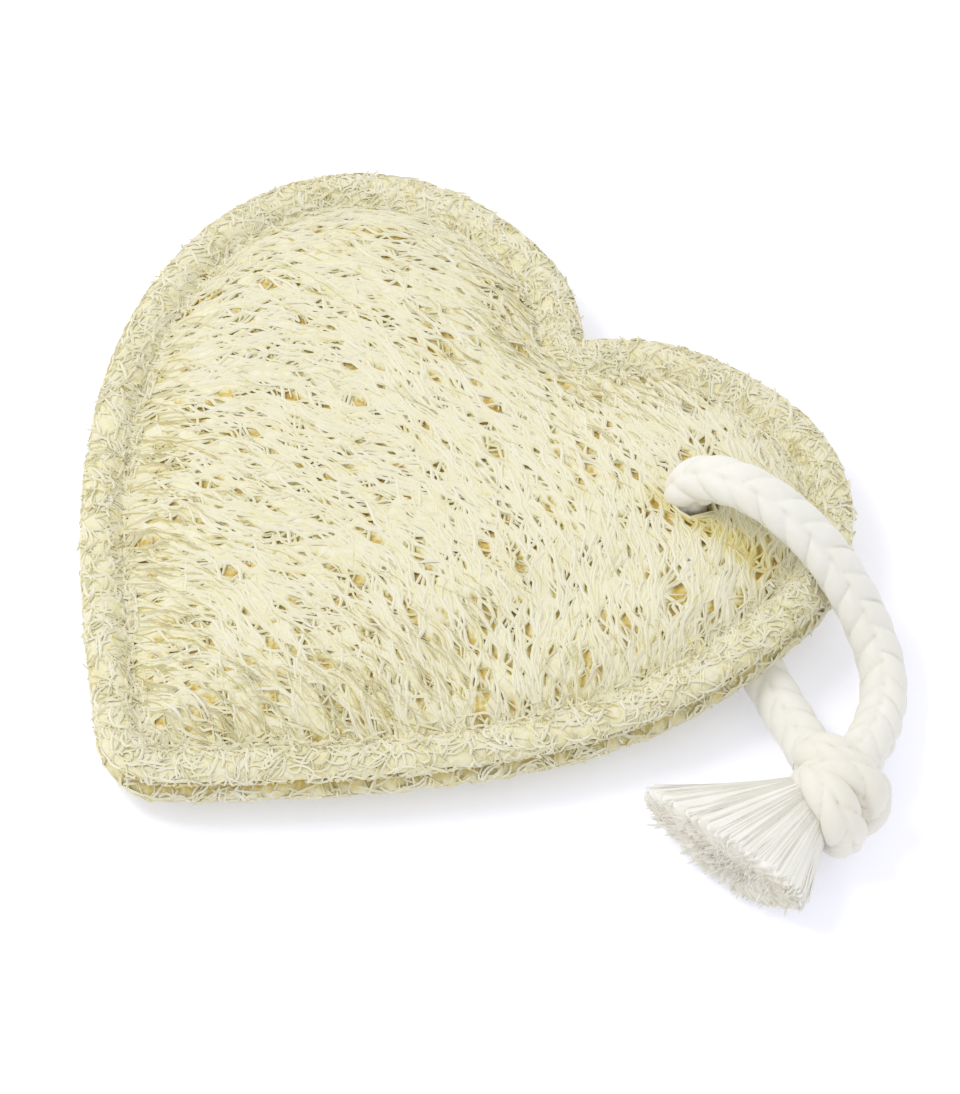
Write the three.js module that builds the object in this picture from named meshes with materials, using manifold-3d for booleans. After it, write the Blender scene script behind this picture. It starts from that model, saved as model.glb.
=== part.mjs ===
// A heart-shaped bath pad sewn from two sheets of dried loofah gourd, with a braided cotton
// rope threaded through one lobe, knotted, and frayed into a tassel.
// Millimetres, +Z up. The origin is on the floor under the middle of the pad, +Y runs from the
// heart's tip to its notch, and +X points to the lobe that carries the rope.
import * as THREE from 'three';
import { mergeVertices } from 'three/addons/utils/BufferGeometryUtils.js';
import Module from 'manifold-3d';

const wasm = await Module();
wasm.setup();
const MERGE_DISTANCE = 1e-4;

// Heart outline, half of it: the other half is its mirror image.
const HALF_WIDTH = 60;
const HALF_LENGTH = 58.3;
const WIDEST_Y = 25.6;
const LOBE_TOP_X = 28.5;
const NOTCH_Y = 47.2;
const TIP_RADIUS = 11;
const TIP_HALF_ANGLE = THREE.MathUtils.degToRad(48.5);
const NOTCH_HALF_ANGLE = THREE.MathUtils.degToRad(42);
const SIDE_PULL = [24, 36];
const SHOULDER_PULL = [17.5, 19];
const LOBE_PULL = [12, 12];

// Thickness of the pad, measured up and down from the plane where the two sheets meet.
const MEETING_HEIGHT = 7.5;
const SHEET_GAP = 0.3;
const EDGE_THICKNESS = 1.8;
const EDGE_INSET = 1.8;
const RIM_WIDTH = 6.5;
const RIM_THICKNESS = 3.9;
const RIM_CREST = 3.2;
const SEAM_THICKNESS = 1.9;
const PUFF_THICKNESS = 8.6;
const PUFF_RUN = 7;

// Raised net: six-sided meshes of fibre ridges around pits, drawn out along the fibres.
const FIBRE_ANGLE = THREE.MathUtils.degToRad(14);
const NET_PITCH_ALONG = 3.5;
const NET_PITCH_ACROSS = 2.2;
const NET_INSET = 10.4;
const NET_JITTER = 0.2;
const RIDGE_VARIATION = 0.35;
const PIT_DEPTH = 2.1;
const PIT_VARIATION = 0.7;
const RIM_RELIEF = 0.45;
const RIM_RELIEF_LEAST = 0.4;
const FRONT_SEED = 11;
const BACK_SEED = 29;
const RINGS = [
  { depth: 2.0, count: 128 },
  { depth: 4.2, count: 122 },
  { depth: RIM_WIDTH, count: 116 },
  { depth: 8.7, count: 108 },
];
const OUTLINE_COUNT = 136;
const INNER_FACE_PITCH = 12;
const FLAT_SPOT_RADIUS = 9;

// Rope: a fixed route from the knot, under the pad, up through its hole and back to the knot.
const ROPE_DIAMETER = 7.2;
const ROPE_SIDES = 10;
const ROPE_STEPS = 44;
const ROPE_CLEARANCE = 0.35;
const ROPE_ROUTE = [
  [75.4, 9.2, 6.4],
  [70.4, 12.6, 4.6],
  [64.5, 15.6, 3.8],
  [57.5, 19.0, 3.8],
  [50.0, 22.4, 3.8],
  [43.0, 25.6, 4.3],
  [37.2, 28.0, 6.6],
  [33.8, 29.6, 10.6],
  [33.4, 30.7, 15.4],
  [35.8, 31.5, 19.6],
  [40.4, 32.0, 22.3],
  [46.0, 32.7, 22.7],
  [52.0, 33.4, 20.7],
  [57.5, 33.7, 17.3],
  [62.7, 33.3, 13.0],
  [67.4, 32.0, 9.0],
  [71.6, 29.6, 6.2],
  [75.0, 25.8, 5.0],
  [77.4, 21.2, 5.6],
  [79.2, 16.6, 7.2],
  [80.4, 10.2, 8.0],
];

// The rope under the pad lifts the pad a little, and its hole dimples the front.
const LIFT_HEIGHT = 2;
const LIFT_REACH = 26;
const LIFT_FROM = new THREE.Vector2(37, 28);
const LIFT_TO = new THREE.Vector2(60.5, 17.5);
const HOLE_CENTRE = new THREE.Vector2(35.5, 31);
const HOLE_DIMPLE = 2.2;
const HOLE_SPREAD = 8;
const CREASE_FROM = new THREE.Vector2(27, -17);
const CREASE_TO = new THREE.Vector2(36, 18);
const CREASE_DEPTH = 1.1;
const CREASE_SPREAD = 6;

// Seam thread, knot and tassel.
const THREAD_RADIUS = 0.5;
const THREAD_SIDES = 4;
const THREAD_HEIGHT = 1.2;
const THREAD_FROM_ROPE = 5;
const KNOT_CENTRE = new THREE.Vector3(80.6, 5.4, 7.9);
const KNOT_CORE_RADII = new THREE.Vector3(6, 6.2, 5.8);
const KNOT_TURN_RADIUS = 4.2;
const KNOT_CORD_RADIUS = 3.4;
const KNOT_CORE_SIDES = [14, 10];
const KNOT_TURN_SIDES = [9, 20];
const KNOT_TURNS = [
  { shift: [-1.0, 2.8, 0.1], tilt: [90, 0, -14] },
  { shift: [1.5, 0.6, 0], tilt: [72, 34, 0] },
  { shift: [1.4, -2.0, -0.1], tilt: [98, -22, 24] },
];
const TASSEL_ROOT = new THREE.Vector3(79.4, 3.2, 7.8);
const TASSEL_HEADING = THREE.MathUtils.degToRad(258);
const TASSEL_SPREAD = THREE.MathUtils.degToRad(36);
const TASSEL_LENGTH = 18.8;
const TASSEL_SIDE_GAIN = 3.6;
const TASSEL_ROOT_RADIUS = 4;
const TASSEL_END_HALF_HEIGHT = 6;
const TASSEL_END_HEIGHT = 6.7;
const TASSEL_STRANDS = 22;
const TASSEL_SECTIONS = 7;
const TASSEL_RIDGE = 0.07;
const TASSEL_RAG = 1.5;
const TASSEL_HOLLOW = 2.2;
const TASSEL_HOLLOW_WIDTH = 0.5;
const TASSEL_SEED = 5;

// A small seeded generator, so that every build draws the same numbers.
function seededRandom(seed) {
  let state = seed;
  return () => {
    state = (state + 0x6d2b79f5) | 0;
    let mixed = Math.imul(state ^ (state >>> 15), 1 | state);
    mixed = (mixed + Math.imul(mixed ^ (mixed >>> 7), 61 | mixed)) ^ mixed;
    return ((mixed ^ (mixed >>> 14)) >>> 0) / 4294967296;
  };
}

// The heart as one closed path: tip arc, side, shoulder and lobe, then the same mirrored back.
function heartShape() {
  const shape = new THREE.Shape();
  const tipCentreY = -HALF_LENGTH + TIP_RADIUS;
  const arcEnd = TIP_HALF_ANGLE;
  const joinX = TIP_RADIUS * Math.cos(arcEnd);
  const joinY = tipCentreY - TIP_RADIUS * Math.sin(arcEnd);
  const sideX = SIDE_PULL[0] * Math.sin(TIP_HALF_ANGLE);
  const sideY = SIDE_PULL[0] * Math.cos(TIP_HALF_ANGLE);
  const notchX = LOBE_PULL[1] * Math.sin(NOTCH_HALF_ANGLE);
  const notchY = LOBE_PULL[1] * Math.cos(NOTCH_HALF_ANGLE);
  shape.absarc(0, tipCentreY, TIP_RADIUS, -Math.PI / 2, -arcEnd, false);
  shape.bezierCurveTo(
    joinX + sideX, joinY + sideY,
    HALF_WIDTH, WIDEST_Y - SIDE_PULL[1],
    HALF_WIDTH, WIDEST_Y,
  );
  shape.bezierCurveTo(
    HALF_WIDTH, WIDEST_Y + SHOULDER_PULL[0],
    LOBE_TOP_X + SHOULDER_PULL[1], HALF_LENGTH,
    LOBE_TOP_X, HALF_LENGTH,
  );
  shape.bezierCurveTo(LOBE_TOP_X - LOBE_PULL[0], HALF_LENGTH, notchX, NOTCH_Y + notchY, 0, NOTCH_Y);
  shape.bezierCurveTo(
    -notchX, NOTCH_Y + notchY,
    -LOBE_TOP_X + LOBE_PULL[0], HALF_LENGTH,
    -LOBE_TOP_X, HALF_LENGTH,
  );
  shape.bezierCurveTo(
    -LOBE_TOP_X - SHOULDER_PULL[1], HALF_LENGTH,
    -HALF_WIDTH, WIDEST_Y + SHOULDER_PULL[0],
    -HALF_WIDTH, WIDEST_Y,
  );
  shape.bezierCurveTo(-HALF_WIDTH, WIDEST_Y - SIDE_PULL[1], -joinX - sideX, joinY + sideY, -joinX, joinY);
  shape.absarc(0, tipCentreY, TIP_RADIUS, Math.PI + arcEnd, Math.PI * 1.5, false);
  return shape;
}

const outline = heartShape().getSpacedPoints(OUTLINE_COUNT).slice(0, OUTLINE_COUNT);

// Each outline point moved inwards along its own normal.
function insetOutline(depth) {
  const count = outline.length;
  return outline.map((point, i) => {
    const before = outline[(i + count - 1) % count];
    const after = outline[(i + 1) % count];
    const along = after.clone().sub(before).normalize();
    return new THREE.Vector2(point.x - along.y * depth, point.y + along.x * depth);
  });
}

// An inset outline smoothed and shared out again at even spacing.
function insetRing(depth, count) {
  const flat = insetOutline(depth).map((point) => new THREE.Vector3(point.x, point.y, 0));
  const curve = new THREE.CatmullRomCurve3(flat, true, 'centripetal');
  return curve.getSpacedPoints(count).slice(0, count).map((point) => new THREE.Vector2(point.x, point.y));
}

function distanceToSegment(point, from, to) {
  const span = to.clone().sub(from);
  const along = THREE.MathUtils.clamp(point.clone().sub(from).dot(span) / span.lengthSq(), 0, 1);
  return point.distanceTo(from.clone().addScaledVector(span, along));
}

function isInside(point, polygon) {
  let inside = false;
  polygon.forEach((a, i) => {
    const b = polygon[(i + 1) % polygon.length];
    const crosses = a.y > point.y !== b.y > point.y;
    if (crosses && point.x < ((b.x - a.x) * (point.y - a.y)) / (b.y - a.y) + a.x) inside = !inside;
  });
  return inside;
}

// How far a point lies inside the outline.
function depthInside(point) {
  let nearest = Infinity;
  outline.forEach((a, i) => {
    nearest = Math.min(nearest, distanceToSegment(point, a, outline[(i + 1) % outline.length]));
  });
  return isInside(point, outline) ? nearest : -nearest;
}

const bell = (distance, spread) => Math.exp(-((distance / spread) ** 2));

// The height of the plane between the sheets, lifted over the rope.
function meetingHeight(point) {
  const fade = THREE.MathUtils.smoothstep(distanceToSegment(point, LIFT_FROM, LIFT_TO), 0, LIFT_REACH);
  return MEETING_HEIGHT + LIFT_HEIGHT * (1 - fade);
}

// Sheet thickness against depth inside the outline: a rolled rim, the sewn groove, then the puff.
function thicknessAt(depth) {
  if (depth <= RIM_CREST) {
    const out = (RIM_CREST - depth) / RIM_CREST;
    return EDGE_THICKNESS + (RIM_THICKNESS - EDGE_THICKNESS) * Math.sqrt(1 - out * out);
  }
  if (depth <= RIM_WIDTH) {
    const fall = (depth - RIM_CREST) / (RIM_WIDTH - RIM_CREST);
    return SEAM_THICKNESS + (RIM_THICKNESS - SEAM_THICKNESS) * (1 - fall * fall);
  }
  return PUFF_THICKNESS - (PUFF_THICKNESS - SEAM_THICKNESS) * Math.exp((RIM_WIDTH - depth) / PUFF_RUN);
}

// Height of the front face without its net: thickness, the hole's dimple and a soft crease.
function frontHeight(point, depth) {
  const dimple = HOLE_DIMPLE * bell(point.distanceTo(HOLE_CENTRE), HOLE_SPREAD);
  const crease = CREASE_DEPTH * bell(distanceToSegment(point, CREASE_FROM, CREASE_TO), CREASE_SPREAD);
  const inner = THREE.MathUtils.smoothstep(depth, RIM_WIDTH, RIM_WIDTH + PUFF_RUN);
  return meetingHeight(point) + thicknessAt(depth) - (dimple + crease) * inner;
}

// Height of the back face without its net: the same profile, pressed flat where it meets the floor.
function backHeight(point, depth) {
  const lift = meetingHeight(point) - MEETING_HEIGHT;
  return lift + Math.max(0, MEETING_HEIGHT - thicknessAt(depth));
}

// Triangles over scattered points: each point in turn opens the circles that hold it and fans them.
function triangulate(points) {
  const reach = 4000;
  const all = points.concat([
    new THREE.Vector2(-reach, -reach),
    new THREE.Vector2(reach, -reach),
    new THREE.Vector2(0, reach),
  ]);
  const circleOf = (a, b, c) => {
    const [p, q, r] = [all[a], all[b], all[c]];
    const d = 2 * (p.x * (q.y - r.y) + q.x * (r.y - p.y) + r.x * (p.y - q.y));
    const [pp, qq, rr] = [p.lengthSq(), q.lengthSq(), r.lengthSq()];
    const x = (pp * (q.y - r.y) + qq * (r.y - p.y) + rr * (p.y - q.y)) / d;
    const y = (pp * (r.x - q.x) + qq * (p.x - r.x) + rr * (q.x - p.x)) / d;
    return { corners: [a, b, c], x, y, square: (p.x - x) ** 2 + (p.y - y) ** 2 };
  };
  let circles = [circleOf(points.length, points.length + 1, points.length + 2)];
  points.forEach((point, index) => {
    const holds = (circle) => (point.x - circle.x) ** 2 + (point.y - circle.y) ** 2 < circle.square;
    const opened = circles.filter(holds);
    const edges = new Map();
    opened.forEach(({ corners }) => {
      corners.forEach((from, k) => {
        const to = corners[(k + 1) % 3];
        if (!edges.delete(`${to}_${from}`)) edges.set(`${from}_${to}`, [from, to]);
      });
    });
    circles = circles.filter((circle) => !holds(circle));
    edges.forEach(([from, to]) => circles.push(circleOf(from, to, index)));
  });
  return circles.map(({ corners }) => corners).filter((corners) => corners.every((i) => i < points.length));
}

function trianglesInside(points, border) {
  return triangulate(points).filter((corners) => {
    const centre = new THREE.Vector2();
    corners.forEach((i) => centre.addScaledVector(points[i], 1 / 3));
    return isInside(centre, border);
  });
}

// Points of the raised net with their relief: every third point of the stretched lattice is a pit.
function netPoints(random) {
  const found = [];
  const span = Math.ceil((2 * HALF_WIDTH) / NET_PITCH_ACROSS);
  for (let row = -span; row <= span; row += 1) {
    for (let step = -span; step <= span; step += 1) {
      const along = (step + row / 2 + NET_JITTER * (random() - 0.5) * 2) * NET_PITCH_ALONG;
      const across = (row + NET_JITTER * (random() - 0.5) * 2) * NET_PITCH_ACROSS;
      const point = new THREE.Vector2(along, across).rotateAround(new THREE.Vector2(), FIBRE_ANGLE);
      const draw = random();
      const isPit = (((step - row) % 3) + 3) % 3 === 0;
      const pit = -PIT_DEPTH + PIT_VARIATION * (2 * draw - 1);
      const ridge = RIDGE_VARIATION * (2 * draw - 1);
      const depth = depthInside(point);
      if (depth > NET_INSET) found.push({ point, depth, relief: isPit ? pit : ridge });
    }
  }
  return found;
}

// Rings of points over the rolled rim: short ridges cross it, and the sewn groove stays even.
function rimPoints(random) {
  return RINGS.flatMap(({ depth, count }) =>
    insetRing(depth, count).map((point, i) => {
      const share = THREE.MathUtils.lerp(RIM_RELIEF_LEAST, 1, random());
      const crossing = (i % 2 === 0 ? 1 : -1) * RIM_RELIEF * share;
      return { point, depth, relief: depth === RIM_WIDTH ? 0 : crossing };
    }),
  );
}

function surfacePoints(seed) {
  const random = seededRandom(seed);
  const edge = outline.map((point) => ({ point, depth: 0, relief: 0 }));
  return edge.concat(rimPoints(random), netPoints(random));
}

// Points of the hidden face where the sheets meet: the drawn-in edge and a coarse grid.
function innerFacePoints() {
  const edge = insetOutline(EDGE_INSET);
  const grid = [];
  for (let x = -HALF_WIDTH; x <= HALF_WIDTH; x += INNER_FACE_PITCH) {
    for (let y = -HALF_LENGTH; y <= HALF_LENGTH; y += INNER_FACE_PITCH) {
      const point = new THREE.Vector2(x, y);
      if (depthInside(point) > INNER_FACE_PITCH / 2) grid.push(point);
    }
  }
  return edge.concat(grid);
}

function asSolid(geometry) {
  const bare = new THREE.BufferGeometry();
  bare.setAttribute('position', geometry.getAttribute('position').clone());
  if (geometry.index) bare.setIndex(geometry.index.clone());
  const merged = mergeVertices(bare, MERGE_DISTANCE);
  const vertProperties = new Float32Array(merged.getAttribute('position').array);
  const triVerts = new Uint32Array(merged.index.array);
  return new wasm.Manifold(new wasm.Mesh({ numProp: 3, vertProperties, triVerts }));
}

function asGeometry(solid) {
  const mesh = solid.getMesh();
  const geometry = new THREE.BufferGeometry();
  geometry.setAttribute('position', new THREE.BufferAttribute(mesh.vertProperties, 3));
  geometry.setIndex(new THREE.BufferAttribute(mesh.triVerts, 1));
  geometry.computeVertexNormals();
  return geometry;
}

function indexedGeometry(vertices, triangles) {
  const geometry = new THREE.BufferGeometry();
  geometry.setAttribute('position', new THREE.Float32BufferAttribute(vertices.flat(), 3));
  geometry.setIndex(triangles.flat());
  return geometry;
}

// One closed sheet: its netted outer face, the edge band and the hidden face.
function sheetGeometry(outerPoints, outerHeight, side) {
  const inner = innerFacePoints();
  const outerCount = outerPoints.length;
  const innerHeight = (point) => meetingHeight(point) + (side * SHEET_GAP) / 2;
  const vertices = outerPoints.map((entry) => [entry.point.x, entry.point.y, outerHeight(entry)]);
  inner.forEach((point) => vertices.push([point.x, point.y, innerHeight(point)]));
  const triangles = trianglesInside(outerPoints.map((entry) => entry.point), outline);
  const hidden = trianglesInside(inner, inner.slice(0, OUTLINE_COUNT));
  hidden.forEach(([a, b, c]) => triangles.push([outerCount + a, outerCount + c, outerCount + b]));
  for (let i = 0; i < OUTLINE_COUNT; i += 1) {
    const next = (i + 1) % OUTLINE_COUNT;
    triangles.push([next, i, outerCount + i]);
    triangles.push([next, outerCount + i, outerCount + next]);
  }
  const facing = side > 0 ? triangles : triangles.map(([a, b, c]) => [a, c, b]);
  return indexedGeometry(vertices, facing);
}

function frontSheet() {
  const height = ({ point, depth, relief }) => frontHeight(point, depth) + relief;
  return sheetGeometry(surfacePoints(FRONT_SEED), height, 1);
}

// Under the pad the ridges lie in one plane and the pits rise, with a plain spot in the middle.
function backSheet() {
  const height = ({ point, depth, relief }) => {
    const isPlain = point.length() < FLAT_SPOT_RADIUS;
    const rise = depth < NET_INSET ? relief : Math.max(0, -relief - RIDGE_VARIATION);
    return Math.max(0, backHeight(point, depth) + (isPlain ? 0 : rise));
  };
  return sheetGeometry(surfacePoints(BACK_SEED), height, -1);
}

function polygonShape(radius, sides) {
  const shape = new THREE.Shape();
  for (let i = 0; i < sides; i += 1) {
    const angle = (i / sides) * Math.PI * 2;
    if (i === 0) shape.moveTo(radius, 0);
    else shape.lineTo(radius * Math.cos(angle), radius * Math.sin(angle));
  }
  shape.closePath();
  return shape;
}

function tubeGeometry(curve, radius, sides, steps) {
  const settings = { steps, bevelEnabled: false, extrudePath: curve };
  return new THREE.ExtrudeGeometry(polygonShape(radius, sides), settings);
}

const ropeCurve = new THREE.CatmullRomCurve3(
  ROPE_ROUTE.map((place) => new THREE.Vector3(...place)), false, 'centripetal',
);

// The room that the rope presses into the sheets and the knot: a wider tube, a little longer.
function ropeChannel() {
  const places = ropeCurve.getSpacedPoints(ROPE_STEPS);
  const count = places.length;
  const lengthen = (end, beside) => {
    const outwards = end.clone().sub(beside).normalize();
    return end.clone().addScaledVector(outwards, ROPE_CLEARANCE);
  };
  const longer = [lengthen(places[0], places[1])]
    .concat(places.slice(1, count - 1))
    .concat([lengthen(places[count - 1], places[count - 2])]);
  const curve = new THREE.CatmullRomCurve3(longer, false, 'centripetal');
  const radius = ROPE_DIAMETER / 2 + ROPE_CLEARANCE;
  return asSolid(tubeGeometry(curve, radius / Math.cos(Math.PI / ROPE_SIDES), ROPE_SIDES, ROPE_STEPS));
}

// Seam thread: one run of thread laid in the sewn groove of a face. It starts on one side of the
// rope's leg under the pad and ends on the other.
function threadGeometry(side) {
  const seam = RINGS.find(({ depth }) => depth === RIM_WIDTH);
  const ring = insetRing(seam.depth, seam.count);
  const fromLeg = (point) => distanceToSegment(point, LIFT_FROM, LIFT_TO);
  const nearest = ring.reduce((best, point, i) => (fromLeg(point) < fromLeg(ring[best]) ? i : best), 0);
  const turned = ring.slice(nearest).concat(ring.slice(0, nearest));
  const clear = turned.filter((point) => fromLeg(point) > THREAD_FROM_ROPE);
  const faceHeight = side > 0 ? frontHeight : backHeight;
  const path = clear.map((point) => {
    const groove = faceHeight(point, seam.depth);
    return new THREE.Vector3(point.x, point.y, groove + side * THREAD_HEIGHT);
  });
  const curve = new THREE.CatmullRomCurve3(path, false, 'centripetal');
  return tubeGeometry(curve, THREAD_RADIUS, THREAD_SIDES, path.length);
}

// Knot: a core with wrapped turns of the rope around it.
function knotSolid() {
  const core = new THREE.SphereGeometry(1, ...KNOT_CORE_SIDES);
  core.scale(...KNOT_CORE_RADII.toArray());
  let solid = asSolid(core);
  KNOT_TURNS.forEach(({ shift, tilt }) => {
    const turn = new THREE.TorusGeometry(KNOT_TURN_RADIUS, KNOT_CORD_RADIUS, ...KNOT_TURN_SIDES);
    const [x, y, z] = tilt.map(THREE.MathUtils.degToRad);
    turn.applyMatrix4(new THREE.Matrix4().makeRotationFromEuler(new THREE.Euler(x, y, z)));
    turn.translate(...shift);
    solid = solid.add(asSolid(turn));
  });
  return solid.translate(KNOT_CENTRE.toArray());
}

// Tassel: strands fan out from the knot over the floor; ridges mark them and their ends are ragged.
function tasselGeometry(swell) {
  const random = seededRandom(TASSEL_SEED);
  const axis = new THREE.Vector3(Math.cos(TASSEL_HEADING), Math.sin(TASSEL_HEADING), 0);
  const across = new THREE.Vector3(-axis.y, axis.x, 0);
  const around = TASSEL_STRANDS * 2;
  const rags = Array.from({ length: around }, () => TASSEL_RAG * (2 * random() - 1));
  const place = (share, index, width) => {
    const angle = (index / around) * Math.PI * 2;
    const ridge = 1 + TASSEL_RIDGE * share * (index % 2 === 0 ? 1 : -1);
    const sideways = Math.cos(angle) * width;
    const upwards = Math.sin(angle) * width * ridge;
    const bearing = TASSEL_SPREAD * sideways;
    const run = share * (TASSEL_LENGTH - TASSEL_SIDE_GAIN * sideways + rags[index] * share);
    const halfHeight = THREE.MathUtils.lerp(TASSEL_ROOT_RADIUS, TASSEL_END_HALF_HEIGHT, share);
    const height = THREE.MathUtils.lerp(TASSEL_ROOT.z, TASSEL_END_HEIGHT, share);
    return TASSEL_ROOT.clone()
      .addScaledVector(axis, run * Math.cos(bearing))
      .addScaledVector(across, run * Math.sin(bearing) + (TASSEL_ROOT_RADIUS + swell) * sideways)
      .setZ(height + upwards * (halfHeight + swell))
      .toArray();
  };
  const vertices = [];
  const addRing = (share, width) => {
    for (let index = 0; index < around; index += 1) vertices.push(place(share, index, width));
  };
  for (let section = 0; section <= TASSEL_SECTIONS; section += 1) addRing(section / TASSEL_SECTIONS, 1);
  const hollowShare = 1 - TASSEL_HOLLOW / TASSEL_LENGTH;
  addRing(hollowShare, TASSEL_HOLLOW_WIDTH);
  const rings = TASSEL_SECTIONS + 2;
  const rootCentre = vertices.push(place(0, 0, 0)) - 1;
  const endCentre = vertices.push(place(hollowShare, 0, 0)) - 1;
  const triangles = [];
  for (let index = 0; index < around; index += 1) {
    const next = (index + 1) % around;
    for (let ring = 0; ring < rings - 1; ring += 1) {
      const here = ring * around;
      const there = here + around;
      triangles.push([here + index, here + next, there + next]);
      triangles.push([here + index, there + next, there + index]);
    }
    const last = (rings - 1) * around;
    triangles.push([rootCentre, next, index]);
    triangles.push([endCentre, last + index, last + next]);
  }
  return indexedGeometry(vertices, triangles);
}

const channel = ropeChannel();
const loofahFront = asGeometry(asSolid(frontSheet()).subtract(channel));
const loofahBack = asGeometry(asSolid(backSheet()).subtract(channel));
const knot = asGeometry(knotSolid().subtract(channel).subtract(asSolid(tasselGeometry(ROPE_CLEARANCE))));

const LOOFAH_LOOK = { color: 0xe9e0bd, roughness: 0.95, metalness: 0 };
const COTTON_LOOK = { color: 0xf1eee4, roughness: 0.9, metalness: 0 };

function piece(name, geometry, look) {
  const mesh = new THREE.Mesh(geometry, new THREE.MeshStandardMaterial(look));
  mesh.name = name;
  return mesh;
}

const pad = new THREE.Group();
pad.add(piece('loofah_front', loofahFront, LOOFAH_LOOK));
pad.add(piece('loofah_back', loofahBack, LOOFAH_LOOK));
pad.add(piece('seam_thread_front', threadGeometry(1), COTTON_LOOK));
pad.add(piece('seam_thread_back', threadGeometry(-1), COTTON_LOOK));

const hanger = new THREE.Group();
const ropeTube = tubeGeometry(ropeCurve, ROPE_DIAMETER / 2, ROPE_SIDES, ROPE_STEPS);
hanger.add(piece('rope', ropeTube, COTTON_LOOK));
hanger.add(piece('knot', knot, COTTON_LOOK));
hanger.add(piece('tassel', tasselGeometry(0), COTTON_LOOK));

const group = new THREE.Group();
group.add(pad, hanger);
export default group;
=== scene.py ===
# %% [markdown]
# A heart-shaped bath pad of dried loofah gourd, with a rope loop.
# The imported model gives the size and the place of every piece. This lesson dresses it: the open
# mesh of the plant becomes thousands of thin fibres over a golden bed, the rope becomes a braid,
# and its frayed end becomes a brush of strands. Lengths below are in millimetres and become metres
# when a mesh is made.

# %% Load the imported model
import math

import bpy
import numpy as np
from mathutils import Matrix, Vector


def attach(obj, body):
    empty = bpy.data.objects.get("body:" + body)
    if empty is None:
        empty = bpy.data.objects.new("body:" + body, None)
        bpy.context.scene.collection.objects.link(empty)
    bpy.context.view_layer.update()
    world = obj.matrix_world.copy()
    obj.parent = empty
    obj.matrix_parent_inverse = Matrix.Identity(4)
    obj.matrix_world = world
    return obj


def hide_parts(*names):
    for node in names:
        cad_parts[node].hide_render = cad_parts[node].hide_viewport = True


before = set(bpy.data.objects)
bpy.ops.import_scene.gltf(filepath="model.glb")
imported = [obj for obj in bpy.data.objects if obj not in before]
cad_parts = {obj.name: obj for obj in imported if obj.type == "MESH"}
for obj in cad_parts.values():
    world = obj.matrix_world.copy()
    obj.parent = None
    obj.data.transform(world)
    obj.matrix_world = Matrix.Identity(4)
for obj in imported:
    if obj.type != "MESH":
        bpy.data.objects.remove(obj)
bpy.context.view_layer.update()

MM = 0.001
print("nodes to dress:", sorted(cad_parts))

# %% [markdown]
# The camera comes first. The photo looks down on the pad from its lower right with a long lens, so
# lines hardly converge. The angle and the distance were fitted to the heart's outline.

# %% Camera
CAMERA_AZIMUTH = math.radians(40.2)
CAMERA_ELEVATION = math.radians(52.2)
CAMERA_DISTANCE = 800
CAMERA_AIM = Vector((7.48, 13.6, -2.6))
CAMERA_LENS = 172.6
CAMERA_SENSOR = 36


def add_camera():
    """A camera at a distance from the aim point, along the direction of the two angles."""
    flat = math.cos(CAMERA_ELEVATION)
    back = Vector((
        math.sin(CAMERA_AZIMUTH) * flat,
        -math.cos(CAMERA_AZIMUTH) * flat,
        math.sin(CAMERA_ELEVATION),
    ))
    data = bpy.data.cameras.new("camera")
    data.lens = CAMERA_LENS
    data.sensor_width = CAMERA_SENSOR
    camera = bpy.data.objects.new("camera", data)
    camera.location = (CAMERA_AIM + back * CAMERA_DISTANCE) * MM
    camera.rotation_mode = "QUATERNION"
    camera.rotation_quaternion = (-back).to_track_quat("-Z", "Y")
    bpy.context.collection.objects.link(camera)
    bpy.context.scene.camera = camera
    return camera


camera = add_camera()
print("camera at", [round(x, 3) for x in camera.location])

# %% [markdown]
# Every piece here is a skin over rings of points: a rope is one long row of rings, a fibre is a
# short row, and a sheet of loofah is rings that widen from its middle and close again below. One
# helper joins the rings of many such rows into faces, and another puts the faces into a mesh. The
# signed volume of a closed skin tells which way its faces point, so it can be turned outwards.

# %% Helpers for skins over rings
def unit(vectors):
    """Vectors divided by their lengths."""
    return vectors / np.maximum(np.linalg.norm(vectors, axis=-1, keepdims=True), 1e-9)


def smoothstep(x, low, high):
    """An S-shaped rise from 0 to 1 between two limits."""
    t = np.clip((x - low) / (high - low), 0, 1)
    return t * t * (3 - 2 * t)


def skin(rings):
    """Faces over rows of rings, shaped (rows, rings, sides, 3): a four-sided face between each pair
    of neighbours along and around, and one cap at each end of a row."""
    rows, count, sides, _ = rings.shape
    index = np.arange(rows * count * sides).reshape(rows, count, sides)
    beside = np.roll(index, -1, axis=2)
    corners = [index[:, :-1], beside[:, :-1], beside[:, 1:], index[:, 1:]]
    walls = np.stack(corners, axis=-1).reshape(-1, 4)
    caps = np.concatenate([index[:, 0, ::-1], index[:, -1]])
    return rings.reshape(-1, 3), [walls, caps]


def join_skins(skins):
    """One skin out of several, with the point numbers of each moved past those before it."""
    starts = np.cumsum([0] + [len(points) for points, _ in skins])
    points = np.concatenate([points for points, _ in skins])
    faces = [face + start for (_, group), start in zip(skins, starts) for face in group]
    return points, faces


def signed_volume(points, faces):
    """A sixth of the sum of the triple products of the triangles that fan out over each face."""
    total = 0.0
    for group in faces:
        first = points[group[:, 0]]
        for corner in range(1, group.shape[1] - 1):
            product = np.cross(points[group[:, corner]], points[group[:, corner + 1]])
            total += np.einsum("ij,ij->", first, product)
    return total / 6


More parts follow.
